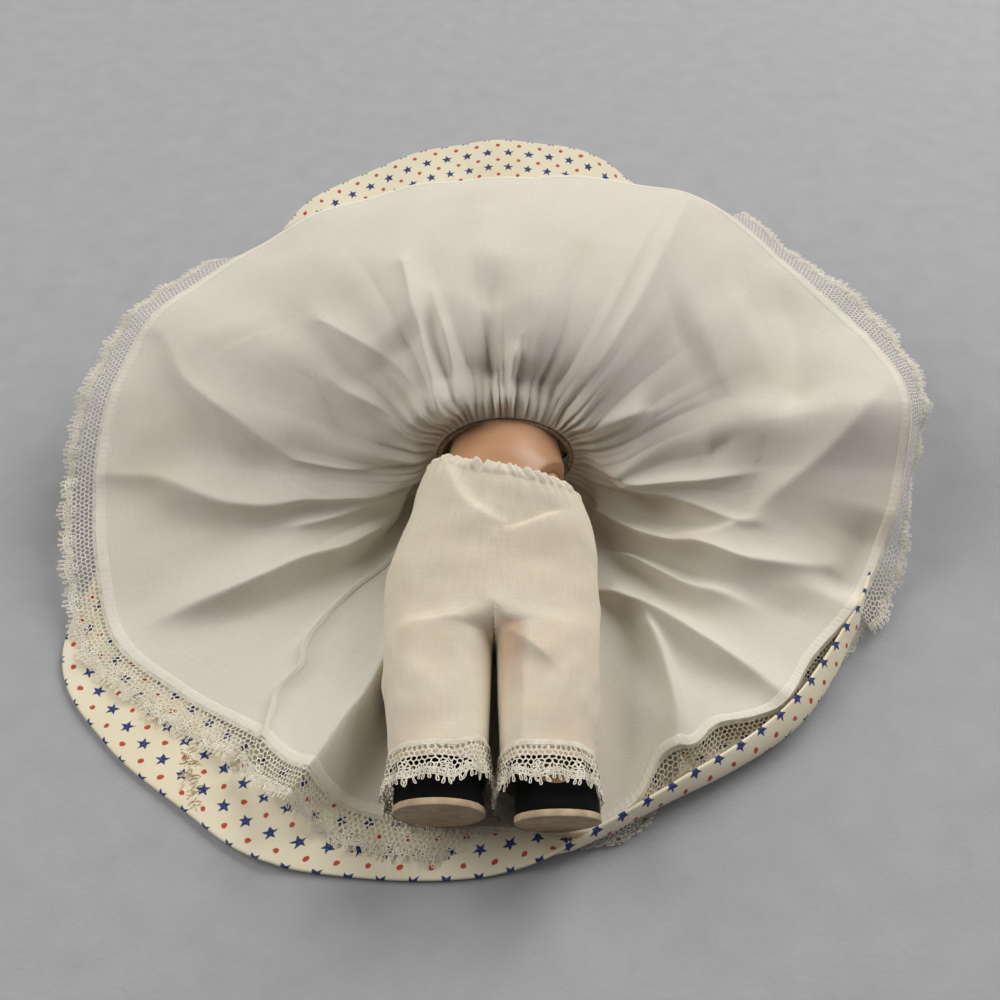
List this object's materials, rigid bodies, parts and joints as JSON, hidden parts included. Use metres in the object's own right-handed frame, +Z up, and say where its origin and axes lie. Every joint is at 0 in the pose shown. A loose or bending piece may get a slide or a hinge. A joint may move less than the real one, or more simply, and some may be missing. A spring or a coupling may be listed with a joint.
{
  "type": "costume doll",
  "caption": "Strung costume doll lying on its back with its skirt and lace-edged petticoat thrown open, over ruffled pantalettes and black shoes.",
  "frame": {"origin": "on the floor under the middle of the whole spread, petticoat lace included", "axes": "+Z up from the floor, +Y from the feet towards the head, +X towards the doll's left hand"},
  "size_m": [0.262, 0.2496, 0.0607],
  "materials": {
    "skin": "satin moulded hard plastic",
    "hair": "brushed fibre",
    "eye": "gloss",
    "steel": "plain wire",
    "weight": "cast",
    "elastic": "cotton-covered elastic",
    "organdy": "crisp open weave",
    "lace": "net lace",
    "lawn": "fine plain weave, aged",
    "cord": "bound seam",
    "print": "cotton with printed stars and dots",
    "velvet": "pile",
    "card": "pressed card"
  },
  "bodies": {
    "torso": {"torso_front": "skin", "torso_back": "skin", "arm_elastic": "elastic", "leg_elastic": "elastic", "petticoat_skirt": "lawn", "petticoat_lace": "lace", "petticoat_waist_cord": "cord", "dress_skirt": "print", "dress_waistband": "print", "bodice_front": "print", "bodice_back_left": "print", "bodice_back_right": "print", "bodice_snap_lower": "steel", "bodice_snap_upper": "steel", "pantalettes_seat": "organdy", "pantalettes_elastic": "organdy"},
    "head": {"face": "skin", "head_back": "skin", "wig": "hair", "neck_hook": "steel", "neck_washer": "steel"},
    "eyes": {"left_eye": "eye", "right_eye": "eye", "left_eyelid": "skin", "right_eyelid": "skin", "eye_rocker": "steel", "eye_weight": "weight"},
    "left_arm": {"left_arm": "skin", "left_sleeve": "print", "left_arm_hook": "steel"},
    "right_arm": {"right_arm": "skin", "right_sleeve": "print", "right_arm_hook": "steel"},
    "left_leg": {"left_leg": "skin", "left_leg_hook": "steel", "left_shoe_upper": "velvet", "left_shoe_sole": "card", "left_pantalette_leg": "organdy", "left_cuff_lace": "lace"},
    "right_leg": {"right_leg": "skin", "right_leg_hook": "steel", "right_shoe_upper": "velvet", "right_shoe_sole": "card", "right_pantalette_leg": "organdy", "right_cuff_lace": "lace"}
  },
  "joints": [
    {"name": "head_turn", "type": "hinge", "parent": "torso", "child": "head", "pos_m": [0.00347, 0.03935, 0.02206], "axis": [0, 1, 0], "range_deg": [-35, 35]},
    {"name": "eyes_open", "type": "hinge", "parent": "head", "child": "eyes", "pos_m": [0.00347, 0.06535, 0.04425], "axis": [-1, 0, 0], "range_deg": [0, 55]},
    {"name": "left_shoulder", "type": "hinge", "parent": "torso", "child": "left_arm", "pos_m": [0.01967, 0.02735, 0.02206], "axis": [1, 0, 0], "range_deg": [0, 40]},
    {"name": "right_shoulder", "type": "hinge", "parent": "torso", "child": "right_arm", "pos_m": [-0.01273, 0.02735, 0.02206], "axis": [1, 0, 0], "range_deg": [0, 40]},
    {"name": "left_hip", "type": "hinge", "parent": "torso", "child": "left_leg", "pos_m": [0.01297, -0.02265, 0.02206], "axis": [-0.8192, 0.5736, 0], "range_deg": [0, 90], "deforming": ["pantalettes_seat", "pantalettes_elastic"]},
    {"name": "right_hip", "type": "hinge", "parent": "torso", "child": "right_leg", "pos_m": [-0.00603, -0.02265, 0.02206], "axis": [-0.8192, -0.5736, 0], "range_deg": [0, 90], "deforming": ["pantalettes_seat", "pantalettes_elastic"]}
  ]
}
